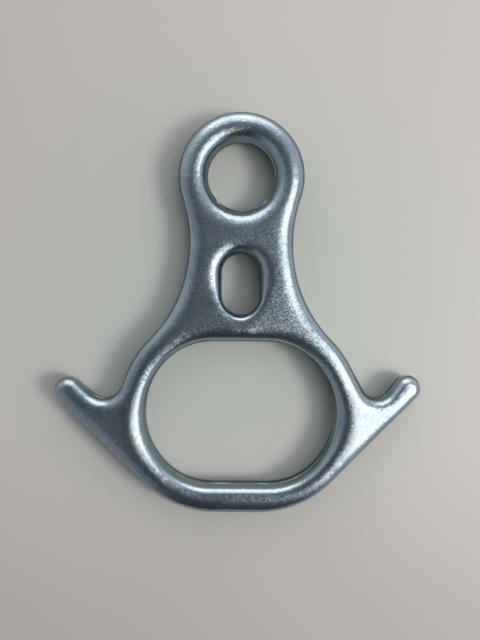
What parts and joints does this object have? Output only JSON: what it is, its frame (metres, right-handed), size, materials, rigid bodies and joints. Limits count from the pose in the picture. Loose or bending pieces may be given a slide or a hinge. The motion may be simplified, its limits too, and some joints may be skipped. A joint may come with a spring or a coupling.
{
  "type": "figure eight descender",
  "caption": "Forged figure eight descender: small connector eye, slotted neck and large rope ring with two upturned ears.",
  "frame": {"origin": "middle of the footprint at the back face, the part lying on its back", "axes": "+Z through the thickness to the front face, +Y along the length towards the small eye, +X to the right ear"},
  "size_m": [0.1466, 0.1592, 0.0127],
  "materials": {
    "forged_body": "bright zinc plate over forged steel, satin with a fine grain"
  },
  "bodies": {
    "root": {"forged_body": "forged_body"}
  },
  "joints": []
}
